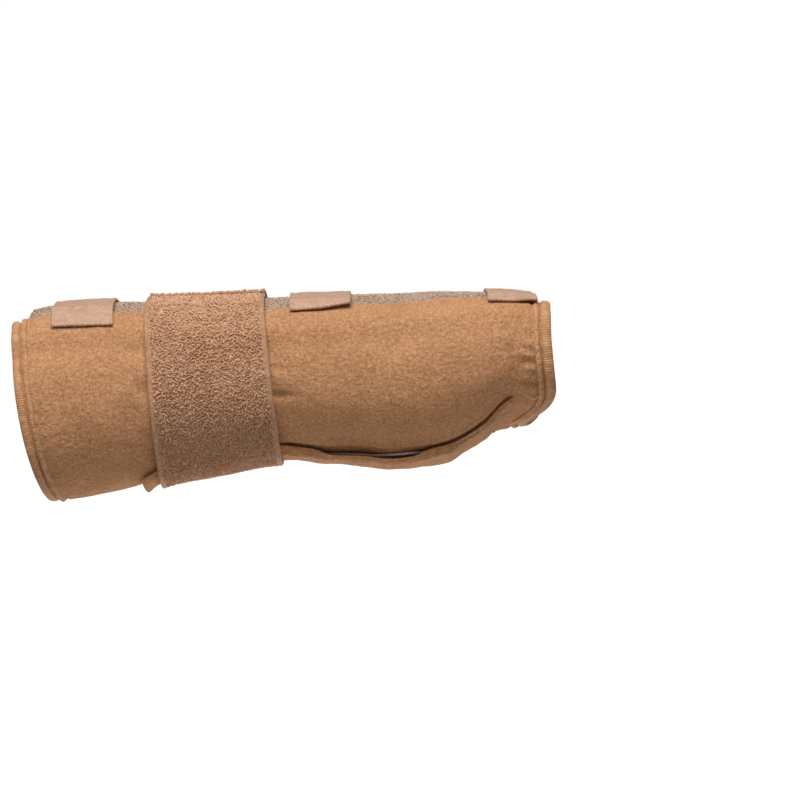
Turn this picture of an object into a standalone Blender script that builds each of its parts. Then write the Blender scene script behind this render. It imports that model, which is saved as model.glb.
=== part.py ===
"""A wrist brace for the right hand: a cloth sleeve with a palmar stay, a wrist strap and three hook tabs.

Metres, +Z up. +X runs along the arm to the knuckles, +Z is the back of the hand and -Y the little
finger's side. The origin is on the arm's axis, under the wrist strap.

Places on the sleeve are given by x, by a share of the way round it (0 at the crown on the back of the
hand, 0.25 on the little finger's side, 0.5 at the sole on the palm side, 0.75 on the thumb's side) and
by a height above the skin.
"""
import functools
import math

import bmesh
import bpy
import numpy as np
from mathutils import Vector

MM = 0.001

# Sizes of the sleeve, whose heights and breadths are those of the skin inside it
forearm_length = 72.2 * MM
hand_length = 133.2 * MM
cuff_height = 69.0 * MM
cuff_breadth = 76.0 * MM
panel_thickness = 2.4 * MM
cuff_sweep = 5.2 * MM
knuckle_bow = 1.8 * MM
knuckle_notch = 12.5 * MM
notch_place = 0.52
notch_spread = 0.21
normal_reach = 2.5 * MM

# The strip on the back of the hand, and how far the sleeve's two edges lie from the crown
dorsal_thickness = 2.2 * MM
edge_reach_forearm = 21.5 * MM
edge_reach_knuckle = 33.5 * MM
lap_width = 8.0 * MM
lap_ramp = 9.0 * MM

# Binding tape
binding_width = 4.2 * MM
binding_thickness = 3.4 * MM
binding_bevel = 0.9 * MM

# Thumb hole, measured inside its binding
thumb_hole_length = 42.0 * MM
thumb_hole_girth = 60.0 * MM
thumb_hole_place = hand_length - 44.8 * MM
thumb_hole_from_sole = 36.0 * MM
thumb_hole_slant = 6.0 * MM

# Stay and its pocket on the palm side
pocket_thickness = 1.6 * MM
pocket_half_width = 19.0 * MM
pocket_forearm_reach = 30.8 * MM
pocket_hand_reach = hand_length - 18.0 * MM
pocket_curl = 0.9 * MM
curl_length = 9.0 * MM
mouth_start = 42.0 * MM
mouth_end = 78.0 * MM
mouth_lift = 1.0 * MM
mouth_ramp = 6.0 * MM
stay_thickness = 1.2 * MM
stay_margin = 4.0 * MM
stay_mouth_margin = 1.0 * MM
stay_forearm_reach = 10.0 * MM
stay_hand_reach = hand_length - 53.2 * MM
stay_ramp = 7.0 * MM
stay_bevel = 0.25 * MM

# Wrist strap, whose middle lies a little towards the hand
strap_width = 45.5 * MM
strap_place = 1.8 * MM
strap_thickness = 2.0 * MM
strap_overlap = 30.0 * MM
strap_bevel = 0.5 * MM

# Hook tabs
tab_thickness = 1.2 * MM
tab_forearm_width = 23.0 * MM
tab_forearm_place = -45.0 * MM
tab_forearm_reach = 29.5 * MM
tab_wrist_width = 23.5 * MM
tab_wrist_place = 45.8 * MM
tab_wrist_reach = 24.5 * MM
tab_knuckle_width = 17.5 * MM
tab_knuckle_place = hand_length - 15.2 * MM
tab_knuckle_reach = 34.0 * MM
tab_far_reach = 40.0 * MM

# Clearances between pieces that touch on the real brace: laid on each other, sewn along a curved face
# and edge to edge; and how far a band's bend over a corner reaches round it and along the arm
seat_gap = 0.35 * MM
sewn_gap = 0.50 * MM
edge_gap = 0.60 * MM
band_ease = 2.0 * MM
band_stiffness = 5.0 * MM

# Skin sections. The station is a share of forearm_length below 0 and of hand_length above 0. The top,
# the bottom and the drop of the thumb's side are shares of cuff_height, the breadth of cuff_breadth,
# and the squareness is 2 for an ellipse and more for a boxier oval.
SECTIONS = [
    # station, top, bottom, breadth, drop, squareness
    (-1.00, 0.505, -0.485, 1.00, 0.000, 2.1),
    (-0.82, 0.530, -0.495, 1.00, 0.000, 2.1),
    (-0.60, 0.525, -0.485, 0.98, 0.000, 2.1),
    (-0.43, 0.510, -0.458, 0.96, 0.000, 2.1),
    (-0.25, 0.490, -0.397, 0.92, 0.000, 2.1),
    (0.00, 0.468, -0.374, 0.87, 0.000, 2.1),
    (0.17, 0.446, -0.351, 0.85, 0.000, 2.1),
    (0.31, 0.432, -0.400, 0.87, 0.010, 2.15),
    (0.42, 0.414, -0.440, 0.91, 0.020, 2.2),
    (0.50, 0.402, -0.478, 0.95, 0.030, 2.25),
    (0.58, 0.388, -0.478, 0.99, 0.045, 2.3),
    (0.67, 0.380, -0.468, 1.03, 0.070, 2.35),
    (0.75, 0.362, -0.415, 1.06, 0.090, 2.4),
    (0.82, 0.345, -0.350, 1.08, 0.105, 2.5),
    (0.90, 0.322, -0.345, 1.08, 0.105, 2.5),
    (1.00, 0.275, -0.335, 1.06, 0.100, 2.5),
]

# Soft dents of the sleeve. The length is a share of hand_length, the breadth of the girth and the depth
# of cuff_height.
DENTS = [
    # station, share round, length, breadth, depth
    (0.45, 0.385, 0.14, 0.045, 0.020),
    (0.23, 0.300, 0.05, 0.060, 0.016),
    (0.87, 0.350, 0.03, 0.040, 0.012),
]

# Edges of the stay pocket, as shares of pocket_half_width from the sole: the little finger's edge
# towards that side, the thumb's edge towards the thumb.
POCKET_EDGES = [
    # station, little finger's edge, thumb's edge
    (-0.42, 1.06, 1.00),
    (0.18, 0.95, 1.00),
    (0.31, 0.88, 1.00),
    (0.42, 0.95, 0.95),
    (0.50, 1.02, 0.76),
    (0.58, 1.09, 0.40),
    (0.66, 1.17, 0.04),
    (0.735, 1.30, -0.14),
    (0.78, 1.46, -0.42),
    (0.825, 1.74, -1.15),
    (0.865, 1.96, -1.80),
]

SLEEVE_COLOUR = (0.46, 0.24, 0.125)
DORSAL_COLOUR = (0.48, 0.37, 0.28)
STRAP_COLOUR = (0.41, 0.24, 0.15)
TAB_COLOUR = (0.72, 0.50, 0.38)
BINDING_COLOUR = (0.60, 0.34, 0.18)
STAY_COLOUR = (0.80, 0.80, 0.81)


def lerp(start, end, share):
    return start + (end - start) * share


def smooth(low, high, value):
    """0 below low, 1 above high, and an even turn between them."""
    share = min(max((value - low) / (high - low), 0.0), 1.0)
    return share * share * (3.0 - 2.0 * share)


def station_of(x):
    return x / forearm_length if x < 0.0 else x / hand_length


def from_table(table, column, station):
    """A column of a table at a station, on a smooth curve through its rows."""
    places = [row[0] for row in table]
    values = [row[column] for row in table]
    if station <= places[0]:
        return values[0]
    if station >= places[-1]:
        return values[-1]
    row = next(index for index in range(len(places) - 1) if station <= places[index + 1])
    step = places[row + 1] - places[row]
    slopes = []
    for middle in (row, row + 1):
        before = max(middle - 1, 0)
        after = min(middle + 1, len(places) - 1)
        slopes.append((values[after] - values[before]) / (places[after] - places[before]))
    t = (station - places[row]) / step
    return (
        (2 * t ** 3 - 3 * t ** 2 + 1) * values[row]
        + (t ** 3 - 2 * t ** 2 + t) * step * slopes[0]
        + (3 * t ** 2 - 2 * t ** 3) * values[row + 1]
        + (t ** 3 - t ** 2) * step * slopes[1]
    )


@functools.lru_cache(maxsize=None)
def skin_line(x):
    """The skin's outline at x: shares round it, y, z and its whole length."""
    top, bottom, breadth, drop, squareness = (
        from_table(SECTIONS, column, station_of(x)) for column in range(1, 6)
    )
    half_height = (top - bottom) / 2 * cuff_height
    middle = (top + bottom) / 2 * cuff_height
    half_breadth = breadth / 2 * cuff_breadth
    angles = np.linspace(0.0, 2 * math.pi, 241)
    side = np.sin(angles)
    up = np.cos(angles)
    side = np.sign(side) * np.abs(side) ** (2 / squareness)
    lift = np.sign(up) * np.abs(up) ** (2 / squareness)
    y = -half_breadth * side
    z = middle + half_height * lift + drop * cuff_height * side * (1 - up) / 2
    lengths = np.concatenate([[0.0], np.cumsum(np.hypot(np.diff(y), np.diff(z)))])
    sole = len(angles) // 2
    near = lengths[: sole + 1] / lengths[sole] / 2
    far = 0.5 + (lengths[sole + 1:] - lengths[sole]) / (lengths[-1] - lengths[sole]) / 2
    return np.concatenate([near, far]), y, z, float(lengths[-1])


def girth(x):
    return skin_line(x)[3]


def dent_depth(x, share):
    depth = 0.0
    for station, around, length, breadth, deep in DENTS:
        along = (station_of(x) - station) / length
        across = (share - around) / breadth
        depth += deep * cuff_height * math.exp(-along ** 2 - across ** 2)
    return depth


@functools.lru_cache(maxsize=None)
def skin_point(x, share):
    shares, y, z, _ = skin_line(x)
    share = share % 1.0
    return Vector((x, float(np.interp(share, shares, y)), float(np.interp(share, shares, z))))


@functools.lru_cache(maxsize=None)
def skin_normal(x, share):
    along = skin_point(x + normal_reach, share) - skin_point(x - normal_reach, share)
    turn = normal_reach / girth(x)
    around = skin_point(x, share + turn) - skin_point(x, share - turn)
    return around.cross(along).normalized()


def lay(x, share, height):
    """The point at a height above the skin, square to it."""
    return skin_point(x, share) + skin_normal(x, share) * (height - dent_depth(x, share % 1.0))


# Edges of the pieces, as x or as a share of the way round


def forearm_edge(share):
    rise = math.cos(2 * math.pi * share)
    return -forearm_length + cuff_sweep * ((0.33 - rise) / 1.33) ** 2


def knuckle_edge(share):
    aside = (share - notch_place) / notch_spread
    bite = math.cos(math.pi / 2 * aside) ** 2 if abs(aside) < 1 else 0.0
    return hand_length - knuckle_notch * bite - knuckle_bow * math.sin(2 * math.pi * share) ** 2


def edge_reach(x):
    return lerp(edge_reach_forearm, edge_reach_knuckle, smooth(hand_length / 4, hand_length, x))


def near_edge(x):
    return edge_reach(x) / girth(x)


def far_edge(x):
    return 1.0 - near_edge(x)


def near_hidden_edge(x):
    return (edge_reach(x) + lap_width) / girth(x)


def lap_height(x, share):
    """How far the sleeve is lifted where it laps over the dorsal panel."""
    arc = min(share % 1.0, 1.0 - share % 1.0) * girth(x)
    start = edge_reach(x) + lap_width + seat_gap
    return (dorsal_thickness + seat_gap) * (1.0 - smooth(start, start + lap_ramp, arc))


def pocket_edge(x, column):
    return from_table(POCKET_EDGES, column, station_of(x)) * pocket_half_width


def pocket_near(x):
    return 0.5 - pocket_edge(x, 1) / girth(x)


def pocket_far(x):
    return 0.5 + pocket_edge(x, 2) / girth(x)


def in_mouth(x):
    """1 along the pocket's slit mouth and 0 past its ends."""
    opening = smooth(mouth_start - mouth_ramp, mouth_start + mouth_ramp, x)
    return opening * (1.0 - smooth(mouth_end - mouth_ramp, mouth_end + mouth_ramp, x))


def stay_near_arc(x):
    """The stay's edge on the little finger's side, which comes up to the mouth."""
    return lerp(stay_margin, stay_mouth_margin, in_mouth(x)) - pocket_edge(x, 1)


def stay_far_arc(x):
    return pocket_edge(x, 2) - stay_margin


def pocket_height(x, share):
    """The pocket's inner face above the skin: over the sleeve, the stay and its open mouths."""
    arc = (share - 0.5) * girth(x)
    along = smooth(-stay_forearm_reach - 2 * stay_ramp, -stay_forearm_reach - stay_ramp, x)
    along *= 1.0 - smooth(stay_hand_reach + stay_ramp, stay_hand_reach + 2 * stay_ramp, x)
    near = stay_near_arc(x)
    far = stay_far_arc(x)
    across = smooth(near - stay_margin, near - stay_margin / 3, arc)
    across *= 1.0 - smooth(far + stay_margin / 3, far + stay_margin, arc)
    height = panel_thickness + sewn_gap + (stay_thickness + seat_gap) * along * across
    edge = -pocket_edge(x, 1)
    by_mouth = 1.0 - smooth(edge, edge + stay_ramp, arc)
    height += mouth_lift * by_mouth * in_mouth(x)
    at_end = 1.0 - smooth(-pocket_forearm_reach, -pocket_forearm_reach + curl_length, x)
    return height + pocket_curl * at_end


def cover_height(x, share):
    """The top of all that the strap and the tabs are laid on."""
    share = share % 1.0
    if share < near_edge(x) or share > far_edge(x):
        return dorsal_thickness
    height = panel_thickness + lap_height(x, share)
    on_pocket = pocket_near(x) < share < pocket_far(x)
    if on_pocket and -pocket_forearm_reach < x < pocket_hand_reach:
        height = max(height, pocket_height(x, share) + pocket_thickness)
    return height


@functools.lru_cache(maxsize=None)
def taut_line(x):
    """The line of a taut band round the brace at x, as the convex outline of what it is laid on."""
    steps = 240
    points = [lay(x, step / steps, cover_height(x, step / steps)) for step in range(steps)]
    points = sorted((point.y, point.z) for point in points)
    outline = []
    for row in (points, points[::-1]):
        chain = []
        for point in row:
            while len(chain) > 1 and turn_of(chain[-2], chain[-1], point) <= 0:
                chain.pop()
            chain.append(point)
        outline += chain[:-1]
    return outline


def turn_of(first, second, third):
    return (second[0] - first[0]) * (third[1] - first[1]) - (second[1] - first[1]) * (third[0] - first[0])


@functools.lru_cache(maxsize=None)
def reach_of_line(x, share):
    """How far out from the skin the taut line lies."""
    outline = taut_line(x)
    start = lay(x, share, 0.0)
    way = skin_normal(x, share)
    nearest = math.inf
    for index, first in enumerate(outline):
        second = outline[(index + 1) % len(outline)]
        out = Vector((second[1] - first[1], first[0] - second[0])).normalized()
        slope = way.y * out.x + way.z * out.y
        if slope > 1e-6:
            gap = (first[0] - start.y) * out.x + (first[1] - start.z) * out.y
            nearest = min(nearest, gap / slope)
    return nearest


def band_height(x, share):
    """The inner face of a taut band above the skin, eased over the corners under it."""
    ease = band_ease / girth(x)
    heights = [
        reach_of_line(x + aside * band_stiffness, share + side * ease)
        for aside in (-1, 0, 1)
        for side in (-1, 0, 1)
    ]
    return max(heights) + seat_gap


def strap_height(x, share):
    """The strap's inner face: its last stretch lies on its own first stretch."""
    lap = strap_overlap / girth(x)
    start = strap_start + 1.0
    ramp = lap / 2
    rise = smooth(start - ramp, start - ramp / 10, share)
    return band_height(x, share % 1.0) + (strap_thickness + seat_gap) * rise


strap_start = -0.20


# Making the solids


def even_rows(count):
    return [step / count for step in range(count + 1)]


# Columns round the sleeve and the strap
SLEEVE_COLUMNS = 36
STRAP_COLUMNS = 60

# Rows of the sleeve along the arm, closer together past the wrist where its form turns more
SLEEVE_ROWS = [share * 0.47 for share in even_rows(10)] + [0.47 + share * 0.53 for share in even_rows(20)[1:]]


def grid_places(across, along, near, far, start, end):
    """Rows of (x, share) between two edges given at x and two ends given at a share."""
    rows = []
    for step in along:
        row = []
        for place in range(across + 1):
            share = lerp(near(0.0), far(0.0), place / across)
            for _ in range(4):
                x = lerp(start(share), end(share), step)
                share = lerp(near(x), far(x), place / across)
            row.append((x, share))
        rows.append(row)
    return rows


def sheet_mesh(name, rows, closed=False):
    """An open surface through rows of points, each row closed on itself where asked."""
    mesh = bmesh.new()
    grid = [[mesh.verts.new(point) for point in row] for row in rows]
    columns = len(grid[0])
    for row, next_row in zip(grid, grid[1:]):
        for column in range(columns if closed else columns - 1):
            after = (column + 1) % columns
            mesh.faces.new((row[column], row[after], next_row[after], next_row[column]))
    data = bpy.data.meshes.new(name)
    mesh.to_mesh(data)
    mesh.free()
    return data


def material(name, colour, roughness, metallic=0.0):
    made = bpy.data.materials.get(name)
    if made is None:
        made = bpy.data.materials.new(name)
        made.use_nodes = True
        shader = made.node_tree.nodes["Principled BSDF"]
        shader.inputs["Base Color"].default_value = (*colour, 1.0)
        shader.inputs["Roughness"].default_value = roughness
        shader.inputs["Metallic"].default_value = metallic
    return made


def add_piece(name, data, finish, collection):
    piece = bpy.data.objects.new(name, data)
    data.materials.append(finish)
    data.shade_smooth()
    collection.objects.link(piece)
    return piece


def thicken(piece, thickness, bevel=0.0):
    """Solidify outwards from the piece's inner face, and round its edges where asked."""
    wall = piece.modifiers.new("Wall", "SOLIDIFY")
    wall.thickness = thickness
    wall.offset = 1.0
    if bevel:
        edge = piece.modifiers.new("Edge", "BEVEL")
        edge.width = bevel
        edge.segments = 1
        edge.limit_method = "ANGLE"
        edge.angle_limit = math.radians(50)


# Pieces of the brace


def build_sleeve(collection):
    inset = binding_width + edge_gap
    places = grid_places(
        SLEEVE_COLUMNS, SLEEVE_ROWS, near_edge, far_edge,
        lambda share: forearm_edge(share) + inset,
        lambda share: knuckle_edge(share) - inset,
    )
    rows = [[lay(x, share, lap_height(x, share)) for x, share in row] for row in places]
    finish = material("brushed_laminate", SLEEVE_COLOUR, 0.9)
    sleeve = add_piece("sleeve_panel", sheet_mesh("sleeve_panel", rows), finish, collection)
    thicken(sleeve, panel_thickness)
    return sleeve


def build_dorsal(collection):
    inset = binding_width + edge_gap
    places = grid_places(
        12, even_rows(18),
        lambda x: -near_hidden_edge(x),
        near_hidden_edge,
        lambda share: forearm_edge(share) + inset,
        lambda share: knuckle_edge(share % 1.0) - inset,
    )
    rows = [[lay(x, share, 0.0) for x, share in row] for row in places]
    finish = material("loop_faced_knit", DORSAL_COLOUR, 0.95)
    dorsal = add_piece("dorsal_panel", sheet_mesh("dorsal_panel", rows), finish, collection)
    thicken(dorsal, dorsal_thickness)


def build_end_binding(name, edge, inward, collection):
    """Tape along one end of the sleeve, from its near edge round to its far edge."""
    sink = (binding_thickness - panel_thickness) / 2
    places = grid_places(
        SLEEVE_COLUMNS, even_rows(1), near_edge, far_edge,
        lambda share: min(edge(share), edge(share) + inward * binding_width),
        lambda share: max(edge(share), edge(share) + inward * binding_width),
    )
    rows = [[lay(x, share, lap_height(x, share) - sink) for x, share in row] for row in places]
    finish = material("binding_tape", BINDING_COLOUR, 0.85)
    binding = add_piece(name, sheet_mesh(name, rows), finish, collection)
    thicken(binding, binding_thickness, binding_bevel)


THUMB_STEPS = 40


def thumb_outline(grow, steps):
    """Places (x, share) round the thumb hole, grown by a width on all sides."""
    half_length = thumb_hole_length / 2 + grow
    half_girth = thumb_hole_girth / 2 + grow
    places = []
    for step in range(steps):
        angle = 2 * math.pi * step / steps
        along = half_length * math.cos(angle)
        around = half_girth * math.sin(angle)
        x = thumb_hole_place + along - thumb_hole_slant * around / half_girth
        share = 0.5 + (thumb_hole_from_sole + around) / girth(thumb_hole_place)
        places.append((x, share))
    return places


def cut_thumb_hole(sleeve, cutters):
    """Cut the sleeve by a plug that stands square to it, with a point at each end."""
    outline = thumb_outline(binding_width + edge_gap, THUMB_STEPS)
    depth = 3 * panel_thickness
    tip = 7 * panel_thickness
    centre = (thumb_hole_place, 0.5 + thumb_hole_from_sole / girth(thumb_hole_place))
    plug = bmesh.new()
    inner = [plug.verts.new(lay(x, share, -depth)) for x, share in outline]
    outer = [plug.verts.new(lay(x, share, depth)) for x, share in outline]
    inner_tip = plug.verts.new(lay(*centre, -tip))
    outer_tip = plug.verts.new(lay(*centre, tip))
    for index in range(len(outline)):
        after = (index + 1) % len(outline)
        plug.faces.new((inner[index], inner[after], outer[after], outer[index]))
        plug.faces.new((outer[index], outer[after], outer_tip))
        plug.faces.new((inner[after], inner[index], inner_tip))
    bmesh.ops.recalc_face_normals(plug, faces=plug.faces[:])
    data = bpy.data.meshes.new("thumb_cutter")
    plug.to_mesh(data)
    plug.free()
    cutter = bpy.data.objects.new("thumb_cutter", data)
    cutters.objects.link(cutter)
    cutter.hide_render = True
    cutter.display_type = "WIRE"
    cut = sleeve.modifiers.new("Thumb hole", "BOOLEAN")
    cut.operation = "DIFFERENCE"
    cut.solver = "EXACT"
    cut.object = cutter


def build_thumb_binding(collection):
    sink = (binding_thickness - panel_thickness) / 2
    rows = []
    for grow in (0.0, binding_width):
        rows.append([lay(x, share, -sink) for x, share in thumb_outline(grow, THUMB_STEPS)])
    finish = material("binding_tape", BINDING_COLOUR, 0.85)
    data = sheet_mesh("thumb_binding", rows, closed=True)
    binding = add_piece("thumb_binding", data, finish, collection)
    thicken(binding, binding_thickness, binding_bevel)


def build_pocket(collection):
    places = grid_places(
        10, even_rows(28), pocket_near, pocket_far,
        lambda share: -pocket_forearm_reach,
        lambda share: pocket_hand_reach,
    )
    rows = [[lay(x, share, pocket_height(x, share)) for x, share in row] for row in places]
    finish = material("brushed_laminate", SLEEVE_COLOUR, 0.9)
    pocket = add_piece("stay_pocket", sheet_mesh("stay_pocket", rows), finish, collection)
    thicken(pocket, pocket_thickness)


def build_stay(collection):
    places = grid_places(
        4, even_rows(15),
        lambda x: 0.5 + stay_near_arc(x) / girth(x),
        lambda x: 0.5 + stay_far_arc(x) / girth(x),
        lambda share: -stay_forearm_reach,
        lambda share: stay_hand_reach,
    )
    height = panel_thickness + seat_gap
    rows = [[lay(x, share, height) for x, share in row] for row in places]
    finish = material("aluminium", STAY_COLOUR, 0.35, 1.0)
    stay = add_piece("palmar_stay", sheet_mesh("palmar_stay", rows), finish, collection)
    thicken(stay, stay_thickness, stay_bevel)


def build_strap(collection):
    places = grid_places(
        STRAP_COLUMNS, even_rows(4),
        lambda x: strap_start,
        lambda x: strap_start + 1.0 + strap_overlap / girth(x),
        lambda share: strap_place - strap_width / 2,
        lambda share: strap_place + strap_width / 2,
    )
    rows = [[lay(x, share, strap_height(x, share)) for x, share in row] for row in places]
    finish = material("loop_pile_strap", STRAP_COLOUR, 0.95)
    strap = add_piece("wrist_strap", sheet_mesh("wrist_strap", rows), finish, collection)
    thicken(strap, strap_thickness, strap_bevel)


def build_tab(name, place, width, reach, collection):
    """A hook tape from the thumb's side of the opening over the crown and onto the near edge."""
    places = grid_places(
        20, even_rows(2),
        lambda x: -tab_far_reach / girth(x),
        lambda x: reach / girth(x),
        lambda share: place - width / 2,
        lambda share: place + width / 2,
    )
    rows = [[lay(x, share, band_height(x, share % 1.0)) for x, share in row] for row in places]
    finish = material("hook_tape", TAB_COLOUR, 0.6)
    tab = add_piece(name, sheet_mesh(name, rows), finish, collection)
    thicken(tab, tab_thickness)


def main():
    for old in list(bpy.data.objects):
        bpy.data.objects.remove(old, do_unlink=True)
    brace = bpy.data.collections.new("wrist_brace")
    cutters = bpy.data.collections.new("cutters")
    for collection in (brace, cutters):
        bpy.context.scene.collection.children.link(collection)
    sleeve = build_sleeve(brace)
    cut_thumb_hole(sleeve, cutters)
    build_dorsal(brace)
    build_end_binding("forearm_binding", forearm_edge, 1.0, brace)
    build_end_binding("knuckle_binding", knuckle_edge, -1.0, brace)
    build_thumb_binding(brace)
    build_pocket(brace)
    build_stay(brace)
    build_strap(brace)
    build_tab("hook_tab_forearm", tab_forearm_place, tab_forearm_width, tab_forearm_reach, brace)
    build_tab("hook_tab_wrist", tab_wrist_place, tab_wrist_width, tab_wrist_reach, brace)
    build_tab("hook_tab_knuckle", tab_knuckle_place, tab_knuckle_width, tab_knuckle_reach, brace)


main()
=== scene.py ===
# %% [markdown]
# # A wrist brace in cloth
# The brace is a sleeve of brushed cloth laminate that is closed over the back of the hand by a wide strap
# and three short hook tapes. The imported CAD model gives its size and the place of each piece. This file
# dresses it: every cloth piece is made again as a finer mesh on the same form, with rounded edges, seams,
# stitches and pile, and each gets a material that is worked out from what the real one is made of.

# %% The frame
import math

import bmesh
import bpy
import numpy as np
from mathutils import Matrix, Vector, noise


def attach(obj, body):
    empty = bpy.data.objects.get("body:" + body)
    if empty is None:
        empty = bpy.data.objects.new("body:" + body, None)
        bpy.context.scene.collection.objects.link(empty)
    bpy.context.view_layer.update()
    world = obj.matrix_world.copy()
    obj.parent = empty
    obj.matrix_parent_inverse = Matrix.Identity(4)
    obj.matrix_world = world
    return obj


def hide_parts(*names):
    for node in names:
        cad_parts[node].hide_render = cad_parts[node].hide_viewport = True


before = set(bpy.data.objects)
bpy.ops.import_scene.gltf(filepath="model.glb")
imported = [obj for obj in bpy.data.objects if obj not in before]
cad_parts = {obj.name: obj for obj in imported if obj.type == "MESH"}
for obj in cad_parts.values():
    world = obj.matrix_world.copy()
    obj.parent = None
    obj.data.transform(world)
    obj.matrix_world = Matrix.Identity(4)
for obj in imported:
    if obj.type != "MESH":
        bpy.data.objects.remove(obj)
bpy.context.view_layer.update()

MM = 0.001

# %% [markdown]
# ## The form under the cloth
# A sleeve is easiest to think of as a skin with a thickness. Every place on it has three numbers: x along
# the arm, a share of the way round (0 on the back of the hand, 0.25 on the little finger's side, 0.5 under
# the palm, 0.75 on the thumb's side), and a height above the skin. One table of oval sections says where
# the skin is, and all the pieces are laid on it, so they fit each other by themselves.

# %% Sections of the skin
FOREARM_LENGTH = 72.2 * MM
HAND_LENGTH = 133.2 * MM
CUFF_HEIGHT = 69.0 * MM
CUFF_BREADTH = 76.0 * MM
SECTIONS = np.array([
    # station, top, bottom, breadth, drop of the thumb's side, squareness
    (-1.00, 0.505, -0.485, 1.00, 0.000, 2.1),
    (-0.82, 0.530, -0.495, 1.00, 0.000, 2.1),
    (-0.60, 0.525, -0.485, 0.98, 0.000, 2.1),
    (-0.43, 0.510, -0.458, 0.96, 0.000, 2.1),
    (-0.25, 0.490, -0.397, 0.92, 0.000, 2.1),
    (0.00, 0.468, -0.374, 0.87, 0.000, 2.1),
    (0.17, 0.446, -0.351, 0.85, 0.000, 2.1),
    (0.31, 0.432, -0.400, 0.87, 0.010, 2.15),
    (0.42, 0.414, -0.440, 0.91, 0.020, 2.2),
    (0.50, 0.402, -0.478, 0.95, 0.030, 2.25),
    (0.58, 0.388, -0.478, 0.99, 0.045, 2.3),
    (0.67, 0.380, -0.468, 1.03, 0.070, 2.35),
    (0.75, 0.362, -0.415, 1.06, 0.090, 2.4),
    (0.82, 0.345, -0.350, 1.08, 0.105, 2.5),
    (0.90, 0.322, -0.345, 1.08, 0.105, 2.5),
    (1.00, 0.275, -0.335, 1.06, 0.100, 2.5),
])
DENTS = [
    # station, share round, length, breadth, depth
    (0.45, 0.385, 0.14, 0.045, 0.020),
    (0.23, 0.300, 0.05, 0.060, 0.016),
    (0.87, 0.350, 0.03, 0.040, 0.012),
]


def smooth(low, high, value):
    """0 below low, 1 above high, and an even turn between them."""
    share = np.clip((value - low) / (high - low), 0.0, 1.0)
    return share * share * (3.0 - 2.0 * share)


def lerp(start, end, share):
    return start + (end - start) * share


def station_of(x):
    return np.where(x < 0.0, x / FOREARM_LENGTH, x / HAND_LENGTH)


def from_table(table, column, station):
    """A column of a table on a smooth curve through its rows."""
    places, values = table[:, 0], table[:, column]
    last = len(places) - 1
    before = np.maximum(np.arange(last + 1) - 1, 0)
    after = np.minimum(np.arange(last + 1) + 1, last)
    slopes = (values[after] - values[before]) / (places[after] - places[before])
    row = np.clip(np.searchsorted(places, station) - 1, 0, last - 1)
    step = places[row + 1] - places[row]
    t = np.clip((station - places[row]) / step, 0.0, 1.0)
    return (
        (2 * t ** 3 - 3 * t ** 2 + 1) * values[row]
        + (t ** 3 - 2 * t ** 2 + t) * step * slopes[row]
        + (3 * t ** 2 - 2 * t ** 3) * values[row + 1]
        + (t ** 3 - t ** 2) * step * slopes[row + 1]
    )


TABLE_STEP = 0.5 * MM
TABLE_X = np.arange(-90.0 * MM, 150.0 * MM, TABLE_STEP)
TABLE_SHARES = np.linspace(0.0, 1.0, 481)


def skin_row(x):
    """y and z of the skin at evenly spaced shares, and its length round."""
    top, bottom, breadth, drop, squareness = (
        float(from_table(SECTIONS, column, station_of(x))) for column in range(1, 6)
    )
    angles = np.linspace(0.0, 2 * math.pi, 241)
    side = np.sign(np.sin(angles)) * np.abs(np.sin(angles)) ** (2 / squareness)
    up = np.cos(angles)
    lift = np.sign(up) * np.abs(up) ** (2 / squareness)
    y = -breadth / 2 * CUFF_BREADTH * side
    z = ((top + bottom) / 2 + (top - bottom) / 2 * lift + drop * side * (1 - up) / 2) * CUFF_HEIGHT
    lengths = np.concatenate([[0.0], np.cumsum(np.hypot(np.diff(y), np.diff(z)))])
    near = lengths[:121] / lengths[120] / 2
    far = 0.5 + (lengths[121:] - lengths[120]) / (lengths[-1] - lengths[120]) / 2
    shares = np.concatenate([near, far])
    return np.interp(TABLE_SHARES, shares, y), np.interp(TABLE_SHARES, shares, z), lengths[-1]


SKIN = np.zeros((len(TABLE_X), len(TABLE_SHARES), 3))
GIRTHS = np.zeros(len(TABLE_X))
for place, x_here in enumerate(TABLE_X):
    SKIN[place, :, 0] = x_here
    SKIN[place, :, 1], SKIN[place, :, 2], GIRTHS[place] = skin_row(x_here)


def looked_up(table, x, share):
    """The table's value at x and a share, between its rows and columns."""
    row = np.clip((x - TABLE_X[0]) / TABLE_STEP, 0.0, len(TABLE_X) - 1.001)
    column = (share % 1.0) * (len(TABLE_SHARES) - 1)
    r, c = np.floor(row).astype(int), np.minimum(np.floor(column).astype(int), len(TABLE_SHARES) - 2)
    dr, dc = (row - r)[..., None], (column - c)[..., None]
    if table.ndim == 2:
        dr, dc = dr[..., 0], dc[..., 0]
    return (
        (table[r, c] * (1 - dc) + table[r, c + 1] * dc) * (1 - dr)
        + (table[r + 1, c] * (1 - dc) + table[r + 1, c + 1] * dc) * dr
    )


def girth(x):
    return np.interp(x, TABLE_X, GIRTHS)


def made_normals():
    """The way out of the skin at each place of the table."""
    reach = 2.5 * MM
    x, share = np.meshgrid(TABLE_X, TABLE_SHARES, indexing="ij")
    along = looked_up(SKIN, x + reach, share) - looked_up(SKIN, x - reach, share)
    turn = reach / girth(x)
    around = looked_up(SKIN, x, share + turn) - looked_up(SKIN, x, share - turn)
    out = np.cross(around, along)
    return out / np.linalg.norm(out, axis=2, keepdims=True)


NORMALS = made_normals()


def dent_depth(x, share):
    depth = 0.0
    for station, around, length, breadth, deep in DENTS:
        along = (station_of(x) - station) / length
        depth = depth + deep * CUFF_HEIGHT * np.exp(-along ** 2 - ((share % 1.0 - around) / breadth) ** 2)
    return depth


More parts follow.
